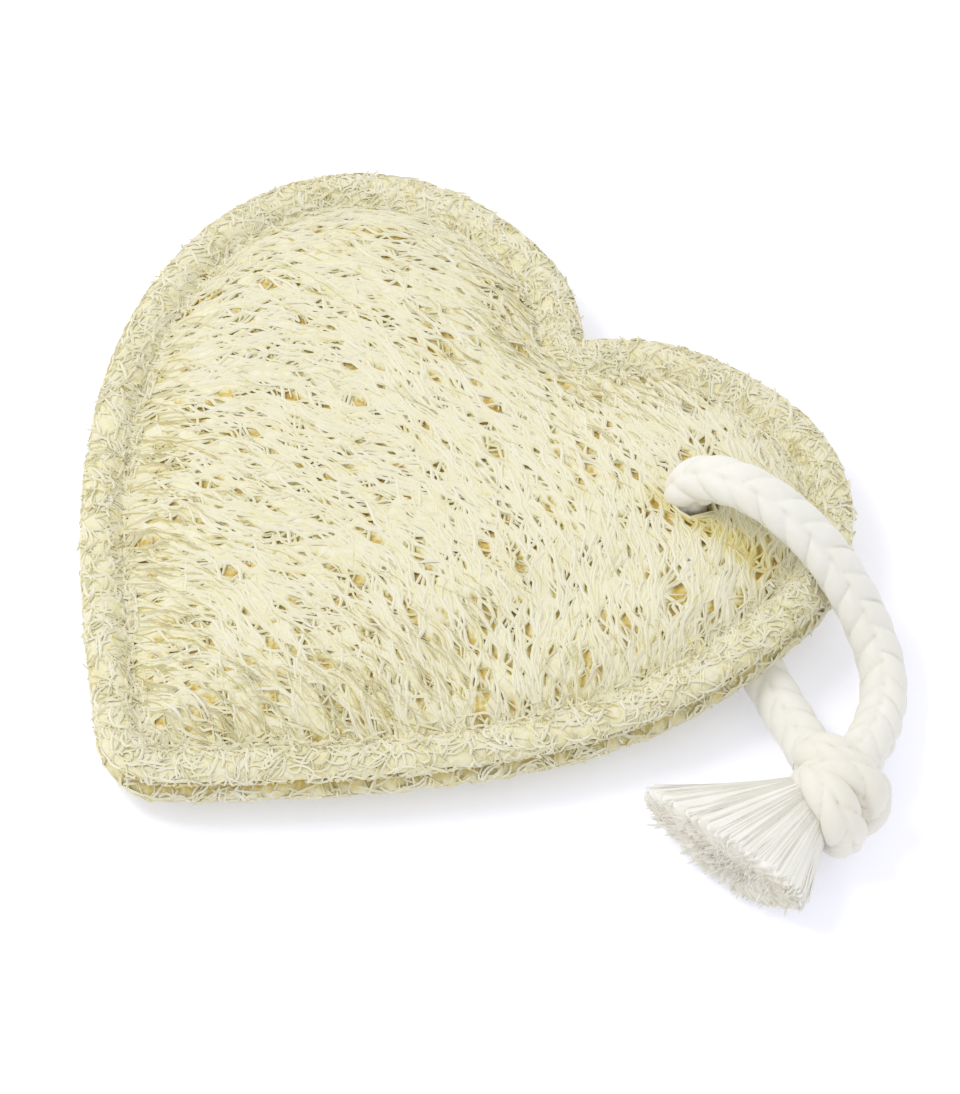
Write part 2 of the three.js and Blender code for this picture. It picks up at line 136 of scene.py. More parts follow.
def make_piece(name, skinned, material, values=None, smooth=True):
    """A mesh object at the origin out of a skin in millimetres. values holds one number for each
    point under an attribute's name, for the material to read. Thin fibres are not shaded smooth: a
    smooth normal on so few sides leans below the horizon at a fibre's foot and darkens it."""
    points, faces = skinned
    if signed_volume(points, faces) < 0:
        faces = [group[:, ::-1] for group in faces]
    sizes = np.concatenate([np.full(len(group), group.shape[1]) for group in faces])
    corners = np.concatenate([group.ravel() for group in faces])
    mesh = bpy.data.meshes.new(name)
    mesh.vertices.add(len(points))
    mesh.vertices.foreach_set("co", (points * MM).astype(np.float32).ravel())
    mesh.loops.add(len(corners))
    mesh.loops.foreach_set("vertex_index", corners.astype(np.int32))
    mesh.polygons.add(len(sizes))
    mesh.polygons.foreach_set("loop_start", (np.cumsum(sizes) - sizes).astype(np.int32))
    mesh.polygons.foreach_set("use_smooth", np.full(len(sizes), smooth))
    for key, numbers in (values or {}).items():
        attribute = mesh.attributes.new(key, "FLOAT", "POINT")
        attribute.data.foreach_set("value", numbers.astype(np.float32).ravel())
    mesh.update(calc_edges=True)
    mesh.validate()
    mesh.materials.append(material)
    piece = bpy.data.objects.new(name, mesh)
    bpy.context.collection.objects.link(piece)
    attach(piece, "root")
    print(name, "has", int((sizes - 2).sum()), "triangles")
    return piece


def tube_rings(centres, radii, sides, squash=1.0):
    """Rings round rows of centres, shaped (rows, points, 3). A helper direction, the axis that a row
    follows least, makes the two directions across the row. The first point of a ring is its top, and
    squash makes a ring flatter."""
    along = unit(np.gradient(centres, axis=1))
    overall = np.abs(centres[:, -1] - centres[:, 0])
    helper = np.eye(3)[np.argmin(overall, axis=1)][:, None, :]
    across = unit(np.cross(along, helper))
    upward = np.cross(across, along)
    angle = np.pi / 2 + np.linspace(0, 2 * np.pi, sides, endpoint=False)[:, None]
    spokes = np.cos(angle) * across[:, :, None] + squash * np.sin(angle) * upward[:, :, None]
    return centres[:, :, None] + radii[:, :, None, None] * spokes


# %% [markdown]
# Materials. Loofah and cotton are both dry and matt, so one node group serves all of them: it gives a
# slow mottle for the colour and a fine fuzz for the bump, from the object's own coordinates. The
# fibres read a number called tint from their mesh: low numbers are golden, as deep in the net, and
# high ones are cream, as on its face. The tint also carries painted shade: it is lowered where shade
# falls, at the fibres' feet and in their deeper layers, in pits, slits, grooves, the split between the
# sheets and the tassel's end, on the knot and beside the rope.

# %% Node groups and materials
def add_node(tree, kind, **settings):
    """A node with its properties set, or its input sockets where a name is that of a socket."""
    node = tree.nodes.new(kind)
    for key, value in settings.items():
        if key in node.inputs:
            node.inputs[key].default_value = value
        else:
            setattr(node, key, value)
    return node


def mottle_group():
    """Two noises on object coordinates: Mottle, slow, and Fuzz, fine, each from 0 to 1."""
    group = bpy.data.node_groups.new("dry_fibre_mottle", "ShaderNodeTree")
    interface = group.interface
    for name in ("Mottle Scale", "Fuzz Scale"):
        interface.new_socket(name, in_out="INPUT", socket_type="NodeSocketFloat")
    for name in ("Mottle", "Fuzz"):
        interface.new_socket(name, in_out="OUTPUT", socket_type="NodeSocketFloat")
    entry = add_node(group, "NodeGroupInput")
    leave = add_node(group, "NodeGroupOutput")
    place = add_node(group, "ShaderNodeTexCoord")
    for name in ("Mottle", "Fuzz"):
        noise = add_node(group, "ShaderNodeTexNoise", Detail=2.0)
        group.links.new(place.outputs["Object"], noise.inputs["Vector"])
        group.links.new(entry.outputs[name + " Scale"], noise.inputs["Scale"])
        group.links.new(noise.outputs["Fac"], leave.inputs[name])
    return group


MOTTLE = mottle_group()


NOISE_LOW, NOISE_HIGH = 0.3, 0.7
DRY_SPECULAR = 0.2


def dry_material(name, colours, attribute, mottle, fuzz, roughness, sheen):
    """A matt material. An attribute runs through the colours, the mottle shifts it and the fuzz
    raises a fine bump. colours is a list of (position, colour)."""
    material = bpy.data.materials.new(name)
    material.use_nodes = True
    tree = material.node_tree
    shader = tree.nodes["Principled BSDF"]
    shader.inputs["Roughness"].default_value = roughness
    shader.inputs["Specular IOR Level"].default_value = DRY_SPECULAR
    shader.inputs["Sheen Weight"].default_value = sheen
    effect = add_node(tree, "ShaderNodeGroup", node_tree=MOTTLE)
    effect.inputs["Mottle Scale"].default_value = mottle["scale"]
    effect.inputs["Fuzz Scale"].default_value = fuzz["scale"]
    reader = add_node(tree, "ShaderNodeAttribute", attribute_name=attribute)
    shift = add_node(tree, "ShaderNodeMapRange")
    shift.inputs["From Min"].default_value = NOISE_LOW
    shift.inputs["From Max"].default_value = NOISE_HIGH
    shift.inputs["To Min"].default_value = -mottle["strength"]
    shift.inputs["To Max"].default_value = mottle["strength"]
    tree.links.new(effect.outputs["Mottle"], shift.inputs["Value"])
    total = add_node(tree, "ShaderNodeMath", operation="ADD")
    tree.links.new(reader.outputs["Fac"], total.inputs[0])
    tree.links.new(shift.outputs["Result"], total.inputs[1])
    ramp = add_node(tree, "ShaderNodeValToRGB")
    stops = ramp.color_ramp.elements
    while len(stops) < len(colours):
        stops.new(0.5)
    for stop, (position, colour) in zip(stops, colours):
        stop.position = position
        stop.color = (*colour, 1)
    tree.links.new(total.outputs["Value"], ramp.inputs["Fac"])
    tree.links.new(ramp.outputs["Color"], shader.inputs["Base Color"])
    bump = add_node(tree, "ShaderNodeBump", Strength=fuzz["strength"], Distance=fuzz["depth"])
    tree.links.new(effect.outputs["Fuzz"], bump.inputs["Height"])
    tree.links.new(bump.outputs["Normal"], shader.inputs["Normal"])
    return material


FIBRE_COLOURS = [
    (0.0, (0.56, 0.44, 0.13)),
    (0.3, (0.71, 0.63, 0.28)),
    (0.6, (0.785, 0.745, 0.53)),
    (1.0, (0.81, 0.785, 0.655)),
]
BED_COLOURS = [
    (0.0, (0.56, 0.36, 0.09)),
    (0.3, (0.70, 0.555, 0.19)),
    (0.55, (0.77, 0.71, 0.41)),
    (1.0, (0.80, 0.775, 0.63)),
]
COTTON_COLOURS = [
    (0.0, (0.60, 0.47, 0.27)),
    (0.3, (0.78, 0.74, 0.63)),
    (0.65, (0.825, 0.81, 0.745)),
    (1.0, (0.95, 0.945, 0.92)),
]
fibre_material = dry_material(
    "loofah_fibre", FIBRE_COLOURS, "tint",
    mottle={"scale": 260, "strength": 0.07},
    fuzz={"scale": 3000, "strength": 0.25, "depth": 0.0001},
    roughness=0.75, sheen=0.15,
)
bed_material = dry_material(
    "loofah_bed", BED_COLOURS, "tint",
    mottle={"scale": 1300, "strength": 0.25},
    fuzz={"scale": 1500, "strength": 0.5, "depth": 0.0003},
    roughness=0.85, sheen=0.1,
)
cotton_material = dry_material(
    "cotton", COTTON_COLOURS, "tint",
    mottle={"scale": 300, "strength": 0.05},
    fuzz={"scale": 1800, "strength": 0.3, "depth": 0.0002},
    roughness=0.9, sheen=0.25,
)
thread_material = dry_material(
    "seam_thread", FIBRE_COLOURS, "tint",
    mottle={"scale": 500, "strength": 0.04},
    fuzz={"scale": 4000, "strength": 0.3, "depth": 0.0001},
    roughness=0.85, sheen=0.1,
)
print("materials:", [m.name for m in bpy.data.materials if m.users])

# %% [markdown]
# The rope is 7.2 mm braided cotton. It leaves the knot, runs under the pad, comes up through a hole in
# the lobe and lies back over the edge to the knot. It could be separate strands wound round each other,
# but strands of that size cut into each other. One tube whose radius follows the braid gives the same
# look: four columns of plaits round the rope, slanting to alternate sides, as in a chevron.

# %% Rope route and frames
ROPE_DIAMETER = 7.2
ROPE_RINGS = 420
STEPS_PER_STRETCH = 40
ROPE_ROUTE = np.array([
    [75.4, 9.2, 6.4], [70.4, 12.6, 4.6], [64.5, 15.6, 3.8], [57.5, 19.0, 3.8], [50.0, 22.4, 3.8],
    [43.0, 25.6, 4.3], [37.2, 28.0, 6.6], [33.8, 29.6, 10.6], [33.4, 30.7, 15.4], [35.8, 31.5, 19.6],
    [40.4, 32.0, 22.3], [46.0, 32.7, 22.7], [52.0, 33.4, 20.7], [57.5, 33.7, 17.3], [62.7, 33.3, 13.0],
    [67.4, 32.0, 9.0], [71.6, 29.6, 6.2], [75.0, 25.8, 5.0], [77.4, 21.2, 5.6], [79.2, 16.6, 7.2],
    [80.4, 10.2, 8.0],
])


def smooth_route(points, steps):
    """A centripetal Catmull-Rom curve through the points, as points at even distances. Each stretch
    is a cubic whose end slopes come from the square roots of the distances between the points."""
    before = 2 * points[0] - points[1]
    after = 2 * points[-1] - points[-2]
    p = np.vstack([before, points, after])
    gap = np.linalg.norm(np.diff(p, axis=0), axis=1)[:, None] ** 0.5
    rate = np.diff(p, axis=0) / gap
    wide = (p[2:] - p[:-2]) / (gap[1:] + gap[:-1])
    slope = rate[:-1] - wide + rate[1:]
    t = np.linspace(0, 1, STEPS_PER_STRETCH, endpoint=False)[:, None, None]
    start, end, span = p[1:-2], p[2:-1], gap[1:-1]
    leave, arrive = slope[:-1] * span, slope[1:] * span
    curve = (
        (2 * t**3 - 3 * t**2 + 1) * start + (t**3 - 2 * t**2 + t) * leave
        + (3 * t**2 - 2 * t**3) * end + (t**3 - t**2) * arrive
    )
    line = np.vstack([curve.transpose(1, 0, 2).reshape(-1, 3), points[-1]])
    return even_points(line, steps)


def even_points(line, count):
    """Points at even distances along a line of points."""
    run = np.concatenate([[0], np.cumsum(np.linalg.norm(np.diff(line, axis=0), axis=1))])
    wanted = np.linspace(0, run[-1], count)
    return np.stack([np.interp(wanted, run, line[:, axis]) for axis in range(3)], axis=1)


def route_length(line):
    """The sum of the distances between neighbours."""
    return np.linalg.norm(np.diff(line, axis=0), axis=1).sum()


def steady_frames(line, first):
    """Two directions across each point of a line, turned as little as possible from one to the next."""
    along = unit(np.gradient(line, axis=0))
    across = np.empty_like(along)
    held = first
    for step, ahead in enumerate(along):
        held = unit(held - ahead * (held @ ahead))
        across[step] = held
    return across, np.cross(along, across)


rope_line = smooth_route(ROPE_ROUTE, ROPE_RINGS)

# %% Braided tube
PLAIT_COLUMNS = 4
PLAIT_LENGTH = 4.6
PLAIT_SLANT = 0.8
PLAIT_RELIEF = 0.75
PLAIT_PROUD = 0.15
PLAIT_FULLNESS = 1.96
PLAIT_EDGE = 0.35
SLIT_PAINTED_SHADE, PLAIT_TINT = 0.1, 0.65
BRAID_SIDES = 48


def braid_relief(along, around):
    """Height of the braid from 0 to 1, along in millimetres and around in turns. A plait is half
    round across its slanted length, and it tucks in at the edges of its column."""
    column = np.floor(around * PLAIT_COLUMNS)
    sideways = around * PLAIT_COLUMNS - column - 0.5
    odd = column % 2
    row = along / PLAIT_LENGTH + (2 * odd - 1) * PLAIT_SLANT * sideways + 0.5 * odd
    offset = row - np.round(row)
    crown = np.sqrt(np.clip(1 - (PLAIT_FULLNESS * offset) ** 2, 0, 1))
    shoulder = 1 - np.abs(2 * sideways) ** 4
    return crown * (PLAIT_EDGE + (1 - PLAIT_EDGE) * shoulder)


def braided_tube(line, diameter, first):
    """Rings of a braid along a line, and the tint of each point: tan in the slits as painted shade, white
    on top.
    The braid starts at the column's edge in the first direction."""
    across, upward = steady_frames(line, first)
    run = np.linspace(0, route_length(line), len(line))
    around = np.arange(BRAID_SIDES) / BRAID_SIDES
    relief = braid_relief(run[:, None], around[None, :])
    radius = diameter / 2 + PLAIT_PROUD - PLAIT_RELIEF * (1 - relief)
    angle = (2 * np.pi * around)[:, None]
    spokes = np.cos(angle) * across[:, None] + np.sin(angle) * upward[:, None]
    rings = line[:, None] + radius[:, :, None] * spokes
    # Painted shade: the lower the braid's relief, the lower and tanner the tint.
    tint = np.clip(2.0 * relief + 0.08, SLIT_PAINTED_SHADE, PLAIT_TINT)
    return rings[None], tint


ROPE_SLIT_STEP = 257
ROPE_FACING = np.array([0.396, -0.468, 0.790])


def slit_start(line, step, facing):
    """The first direction across the line that puts a slit of the braid at facing, at one step."""
    across, upward = steady_frames(line, np.array([0.0, 0.0, 1.0]))
    turn = math.atan2(facing @ upward[step], facing @ across[step])
    return across[0] * math.cos(turn) + upward[0] * math.sin(turn)


rope_start = slit_start(rope_line, ROPE_SLIT_STEP, ROPE_FACING)
rope_rings, rope_tint = braided_tube(rope_line, ROPE_DIAMETER, rope_start)
rope = make_piece("rope_braid", skin(rope_rings), cotton_material, {"tint": rope_tint})
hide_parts("rope")

# %% [markdown]
# The knot gathers both legs of the rope. Its turns are the same braid, wrapped round a core and with
# their ends tucked inside.

# %% Knot
KNOT_CENTRE = np.array([80.6, 5.4, 7.9])
KNOT_CORE_RADII = np.array([5.6, 5.8, 5.4])
KNOT_TURN_RADIUS = 4.2
KNOT_CORD = 6.8
KNOT_SHADE = 0.14
KNOT_RINGS = 120
KNOT_DIP, KNOT_DIP_RUN = 0.35, 0.05
CORE_RINGS, CORE_SIDES = 24, 36
CORE_TINT = 0.45
POLE_GAP = 0.02
KNOT_TURNS = [
    {"shift": [-1.0, 2.8, 0.1], "tilt": [90, 0, -14], "start": 200},
    {"shift": [1.5, 0.6, 0.0], "tilt": [72, 34, 0], "start": 215},
    {"shift": [1.4, -2.0, -0.1], "tilt": [98, -22, 24], "start": 190},
]


def turn_matrix(degrees):
    """Rotation about X, then Y, then Z in the turned frame, as one matrix."""
    x, y, z = np.radians(degrees)
    about_x = np.array([[1, 0, 0], [0, np.cos(x), -np.sin(x)], [0, np.sin(x), np.cos(x)]])
    about_y = np.array([[np.cos(y), 0, np.sin(y)], [0, 1, 0], [-np.sin(y), 0, np.cos(y)]])
    about_z = np.array([[np.cos(z), -np.sin(z), 0], [np.sin(z), np.cos(z), 0], [0, 0, 1]])
    return about_x @ about_y @ about_z


def knot_turn(turn):
    """One wrapped turn: a circle whose two ends dip towards the middle."""
    share = np.linspace(0, 1, KNOT_RINGS)
    angle = np.radians(turn["start"]) + share * 2 * np.pi
    dip = np.minimum(share, 1 - share)
    radius = KNOT_TURN_RADIUS * (1 - KNOT_DIP * np.exp(-(dip / KNOT_DIP_RUN) ** 2))
    circle = np.stack([radius * np.cos(angle), radius * np.sin(angle), 0 * angle], axis=1)
    line = circle @ turn_matrix(turn["tilt"]).T + turn["shift"] + KNOT_CENTRE
    outward = turn_matrix(turn["tilt"]) @ np.array([0, 0, 1.0])
    rings, tint = braided_tube(line, KNOT_CORD, outward)
    return rings, tint - KNOT_SHADE


def knot_core():
    """An ellipsoid in rings from pole to pole."""
    polar = np.linspace(POLE_GAP, np.pi - POLE_GAP, CORE_RINGS)[:, None]
    angle = np.linspace(0, 2 * np.pi, CORE_SIDES, endpoint=False)[None]
    directions = np.stack([
        np.sin(polar) * np.cos(angle), np.sin(polar) * np.sin(angle), np.cos(polar) + 0 * angle,
    ], axis=-1)
    rings = directions * KNOT_CORE_RADII + KNOT_CENTRE
    return rings[None], np.full((CORE_RINGS, CORE_SIDES), CORE_TINT)


knot_parts = [knot_core()] + [knot_turn(turn) for turn in KNOT_TURNS]
knot = make_piece(
    "knot_turns", join_skins([skin(rings) for rings, _ in knot_parts]), cotton_material,
    {"tint": np.concatenate([tint.ravel() for _, tint in knot_parts])},
)
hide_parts("knot")

# %% [markdown]
# Past the knot the braid is combed out into a fan. One closed surface with fine ridges makes the combed
# cotton. Some three hundred loose strands lie on it and nine hundred short tufts fill its end, each a
# little longer or shorter than the next, so that the end is ragged.

# %% Tassel
TASSEL_ROOT = np.array([79.4, 3.2, 7.8])
TASSEL_HEADING = math.radians(258)
TASSEL_SPREAD = math.radians(36)
TASSEL_LENGTH = 18.8
TASSEL_SIDE_GAIN = 3.6
TASSEL_ROOT_RADIUS = 4.0
TASSEL_END_HALF_HEIGHT = 6.0
TASSEL_END_HEIGHT = 6.7
TASSEL_DISH = 2.0
TASSEL_STRANDS = 300
TASSEL_TUFTS = 900
TASSEL_STEPS = 7
TASSEL_SEED = 5
COMB_WAVES = np.arange(18, 90, 4)
COMB_RELIEF, END_RAG = 0.014, 0.05
FAN_SIDES, FAN_RINGS = 300, 26
FAN_END_SHARES = [0.975, 0.985, 0.985, 0.98, 0.98]
FAN_END_WIDTHS = [0.94, 0.84, 0.62, 0.35, 0.02]
FAN_TINT, FAN_END_PAINTED_SHADE = 0.7, 0.45
STRAND_RADII = (0.18, 0.32)
STRAND_SWAY = 0.03


def tassel_point(share, sideways, upwards, extra=0.0):
    """A point of the fan: share runs from the root to the end, sideways and upwards from -1 to 1.
    The fan widens by its spread, it is longer on the side of negative sideways, and its end is dished."""
    axis = np.array([math.cos(TASSEL_HEADING), math.sin(TASSEL_HEADING), 0])
    across = np.array([-axis[1], axis[0], 0])
    bearing = TASSEL_SPREAD * sideways
    dish = TASSEL_DISH * np.clip(1 - sideways**2, 0, 1)
    run = share * (TASSEL_LENGTH - TASSEL_SIDE_GAIN * sideways - dish + extra)
    half_height = TASSEL_ROOT_RADIUS + share * (TASSEL_END_HALF_HEIGHT - TASSEL_ROOT_RADIUS)
    height = TASSEL_ROOT[2] + share * (TASSEL_END_HEIGHT - TASSEL_ROOT[2])
    flat = TASSEL_ROOT * [1, 1, 0]
    forward = (run * np.cos(bearing))[..., None] * axis
    aside = (run * np.sin(bearing) + TASSEL_ROOT_RADIUS * sideways)[..., None] * across
    lift = (height + upwards * half_height)[..., None] * np.array([0, 0, 1.0])
    return flat + forward + aside + lift


def tassel_fan(rng):
    """The combed body: rings from the root to a ragged end, then smaller ones that close
    the end. Ridges run along it, as a sum of waves round the fan with random phases."""
    angle = np.linspace(0, 2 * np.pi, FAN_SIDES, endpoint=False)
    waves = COMB_WAVES[:, None]
    phase = rng.uniform(0, 2 * np.pi, (len(waves), 1))
    comb = np.sin(waves * angle + phase).mean(axis=0) * 3
    rag = np.sin(waves * angle - 2 * phase).mean(axis=0) * 3
    share = np.concatenate([np.linspace(0, 0.95, FAN_RINGS), FAN_END_SHARES])[:, None]
    width = np.concatenate([np.full(FAN_RINGS, 0.98), FAN_END_WIDTHS])[:, None]
    width = width * (1 + COMB_RELIEF * comb * smoothstep(share, 0.05, 0.5))
    reach = share * (1 + END_RAG * rag * width**4 * smoothstep(share, 0.5, 0.9))
    rings = tassel_point(reach, width * np.cos(angle), width * np.sin(angle))
    rings[..., 2] = np.maximum(rings[..., 2], 0.05)
    end_face = np.arange(len(share))[:, None] > FAN_RINGS
    # Painted shade: the end face and the grooves between the ridges get a lower, tanner tint than the
    # ridges.
    tint = np.where(end_face, FAN_END_PAINTED_SHADE, FAN_TINT) + 0.03 * comb
    return rings[None], tint


def tassel_strands(rng, count, reach, width, extra, tint):
    """Loose strands along the fan. Each keeps its place across the fan and wanders, and it runs between
    the two shares in reach. width, extra and tint hold the limits of what each strand draws."""
    angle = rng.uniform(0, 2 * np.pi, count)[:, None]
    width = rng.uniform(*width, count)[:, None]
    share = np.linspace(0, 1, TASSEL_STEPS)[None]
    along = reach[0] + (reach[1] - reach[0]) * share
    longer = rng.normal(*extra, count)[:, None]
    sway = rng.normal(0, STRAND_SWAY, (count, 1)) * share**2
    rise = rng.normal(0, STRAND_SWAY, (count, 1)) * share**2
    centres = tassel_point(along, width * np.cos(angle) + sway, width * np.sin(angle) + rise, longer)
    centres[..., 2] = np.maximum(centres[..., 2], 0.25)
    radii = rng.uniform(*STRAND_RADII, count)[:, None] * (1 - 0.7 * share**3)
    shade = rng.uniform(*tint, (count, 1)) + 0 * share
    return tube_rings(centres, radii, 3), np.repeat(shade[:, :, None], 3, axis=2)


tassel_rng = np.random.default_rng(TASSEL_SEED)
tassel_parts = [
    tassel_fan(tassel_rng),
    tassel_strands(tassel_rng, TASSEL_STRANDS, (0.0, 1.0), (0.95, 0.98), (-0.9, 0.5), (0.66, 0.8)),
    # The tufts in the end are tinted darker than the loose strands: painted shade, as on the end face.
    tassel_strands(tassel_rng, TASSEL_TUFTS, (0.86, 1.0), (0.1, 0.96), (0.0, 0.6), (0.4, 0.7)),
]
tassel = make_piece(
    "tassel_strands", join_skins([skin(rings) for rings, _ in tassel_parts]), cotton_material,
    {"tint": np.concatenate([tint.ravel() for _, tint in tassel_parts])}, smooth=False,
)
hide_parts("tassel")

# %% [markdown]
# The heart. Its half outline is an arc at the tip and three curves up to the notch, and the other half
# mirrors it. What the sheets need most is the distance from any point to that outline, so it is worked
# out once on a fine grid and then read between the grid's points.

# %% Heart outline and the distance to it
HALF_WIDTH = 60.0
HALF_LENGTH = 58.3
WIDEST_Y = 25.6
LOBE_TOP_X = 28.5
NOTCH_Y = 47.2
TIP_RADIUS = 11.0
TIP_HALF_ANGLE = math.radians(48.5)
NOTCH_HALF_ANGLE = math.radians(42)
SIDE_PULL = (24, 36)
SHOULDER_PULL = (17.5, 19)
LOBE_PULL = (12, 12)
HEART_CENTRE = np.array([0.0, 8.0])
GRID_STEP = 0.5
GRID_REACH = 66.0
GRID_OUTLINE_POINTS = 2400
CURVE_STEPS, TIP_STEPS = 200, 80


def bezier(start, leave, arrive, end):
    """A cubic curve between two points with a handle at each."""
    t = np.linspace(0, 1, CURVE_STEPS, endpoint=False)[:, None]
    a, b, c, d = (np.array(p, float) for p in (start, leave, arrive, end))
    return (1 - t)**3 * a + 3 * (1 - t)**2 * t * b + 3 * (1 - t) * t**2 * c + t**3 * d


def heart_outline(count):
    """Points at even distances round the heart, anticlockwise from the tip."""
    sine, cosine = math.sin(TIP_HALF_ANGLE), math.cos(TIP_HALF_ANGLE)
    middle = np.array([0, TIP_RADIUS - HALF_LENGTH])
    angle = np.linspace(-np.pi / 2, -TIP_HALF_ANGLE, TIP_STEPS, endpoint=False)[:, None]
    tip = middle + TIP_RADIUS * np.hstack([np.cos(angle), np.sin(angle)])
    join = middle + TIP_RADIUS * np.array([cosine, -sine])
    widest = np.array([HALF_WIDTH, WIDEST_Y])
    top = np.array([LOBE_TOP_X, HALF_LENGTH])
    notch = np.array([0, NOTCH_Y])
    out_of_notch = LOBE_PULL[1] * np.array([math.sin(NOTCH_HALF_ANGLE), math.cos(NOTCH_HALF_ANGLE)])
    half = np.vstack([
        tip,
        bezier(join, join + SIDE_PULL[0] * np.array([sine, cosine]), widest - [0, SIDE_PULL[1]], widest),
        bezier(widest, widest + [0, SHOULDER_PULL[0]], top + [SHOULDER_PULL[1], 0], top),
        bezier(top, top - [LOBE_PULL[0], 0], notch + out_of_notch, notch),
        notch[None],
    ])
    whole = np.vstack([half, half[-2::-1] * [-1, 1]])
    flat = np.hstack([whole, np.zeros((len(whole), 1))])
    return even_points(flat, count + 1)[:-1, :2]


def heart_distance_grid():
    """The distance to the outline at each point of a grid, negative outside. A point is inside where
    it is nearer to the heart's centre than the outline in the same direction."""
    outline = heart_outline(GRID_OUTLINE_POINTS)
    ticks = np.arange(-GRID_REACH, GRID_REACH + GRID_STEP, GRID_STEP)
    ray = outline - HEART_CENTRE
    ray_angle = np.arctan2(ray[:, 1], ray[:, 0])
    order = np.argsort(ray_angle)
    ray_length = np.hypot(*ray.T)
    rows = []
    for y in ticks:
        row = np.stack([ticks, np.full_like(ticks, y)], axis=1)
        apart = np.sqrt(((row[:, None] - outline[None]) ** 2).sum(axis=2).min(axis=1))
        offset = row - HEART_CENTRE
        bearing = np.arctan2(offset[:, 1], offset[:, 0])
        limit = np.interp(bearing, ray_angle[order], ray_length[order], period=2 * np.pi)
        rows.append(np.where(np.hypot(*offset.T) < limit, apart, -apart))
    return np.array(rows)


def read_grid(grid, points, reach, step):
    """A grid's value between its points, weighted by the distance to each of the four around."""
    place = (points + reach) / step
    place = np.clip(place, 0, np.array(grid.shape[1::-1]) - 1.001)
    low = np.floor(place).astype(int)
    part = place - low
    x, y = low[..., 0], low[..., 1]
    u, v = part[..., 0], part[..., 1]
    if grid.ndim == 3:
        u, v = u[..., None], v[..., None]
    lower = grid[y, x] * (1 - u) + grid[y, x + 1] * u
    upper = grid[y + 1, x] * (1 - u) + grid[y + 1, x + 1] * u
    return lower * (1 - v) + upper * v


DISTANCE_GRID = heart_distance_grid()


def inset(points):
    """How far points lie inside the heart's outline."""
    return read_grid(DISTANCE_GRID, points, GRID_REACH, GRID_STEP)


print("widest inset", round(DISTANCE_GRID.max(), 1), "mm")

# %% [markdown]
# The two sheets meet at one height. From there each swells outwards: a rolled rim, a groove where the
# seam pulls the sheets together, and a puffed middle. The front also dips round the rope's hole and
# along one soft crease, and both sheets ride up a little over the rope.

# %% Heights of the sheets
MEETING_HEIGHT = 7.5
EDGE_THICKNESS = 1.8
RIM_WIDTH = 6.5
RIM_THICKNESS = 3.9
RIM_CREST = 3.2
SEAM_THICKNESS = 1.9
PUFF_THICKNESS = 8.6
PUFF_RUN = 7.0
LIFT_HEIGHT = 2.0
LIFT_REACH = 26.0
LIFT_FROM, LIFT_TO = np.array([37.0, 28.0]), np.array([60.5, 17.5])
HOLE_CENTRE = np.array([35.5, 31.0])
DIMPLE_DEPTH, DIMPLE_WIDTH = 2.2, 8.0
CREASE_FROM, CREASE_TO = np.array([27.0, -17.0]), np.array([36.0, 18.0])
CREASE_DEPTH, CREASE_WIDTH = 1.1, 6.0
PUFF_EASE = 7.0


def segment_distance(points, start, end):
    """The distance to a straight piece of line."""
    run = end - start
    share = np.clip(((points - start) @ run) / (run @ run), 0, 1)
    return np.linalg.norm(points - start - share[..., None] * run, axis=-1)


def thickness(depth):
    """A sheet's thickness by its inset: a rolled rim, a groove and a puffed middle."""
    outer = np.sqrt(np.clip(1 - ((RIM_CREST - depth) / RIM_CREST) ** 2, 0, 1))
    roll = EDGE_THICKNESS + (RIM_THICKNESS - EDGE_THICKNESS) * outer
    fall = 1 - ((depth - RIM_CREST) / (RIM_WIDTH - RIM_CREST)) ** 2
    slope = SEAM_THICKNESS + (RIM_THICKNESS - SEAM_THICKNESS) * fall
    rise = np.exp(np.minimum((RIM_WIDTH - depth) / PUFF_RUN, 0))
    puff = PUFF_THICKNESS - (PUFF_THICKNESS - SEAM_THICKNESS) * rise
    return np.where(depth <= RIM_CREST, roll, np.where(depth <= RIM_WIDTH, slope, puff))


def lift(points):
    """How far the rope under the pad raises it."""
    return LIFT_HEIGHT * (1 - smoothstep(segment_distance(points, LIFT_FROM, LIFT_TO), 0, LIFT_REACH))


def front_height(points, depth):
    """The front face: the meeting height, the lift and the thickness, less the dimple and crease."""
    dimple = DIMPLE_DEPTH * np.exp(-(np.linalg.norm(points - HOLE_CENTRE, axis=-1) / DIMPLE_WIDTH) ** 2)
    crease = CREASE_DEPTH * np.exp(-(segment_distance(points, CREASE_FROM, CREASE_TO) / CREASE_WIDTH) ** 2)
    inner = smoothstep(depth, RIM_WIDTH, RIM_WIDTH + PUFF_EASE)
    return MEETING_HEIGHT + lift(points) + thickness(depth) - (dimple + crease) * inner


def back_height(points, depth):
    """The back face: as thick downwards as the front is upwards, and flat where it lies."""
    return lift(points) + np.maximum(0, MEETING_HEIGHT - thickness(depth))


print("front crest", round(float(front_height(np.zeros(2), np.array(30.0))), 1), "mm")

# %% [markdown]
# The fibres of a gourd run together along its length and part round lens-shaped pores. So each fibre walks
# along a slowly turning flow, and a field of pores then pushes it aside. The field is worked
# out once: across the flow, a point inside a pore's zone moves out past the pore's rim.

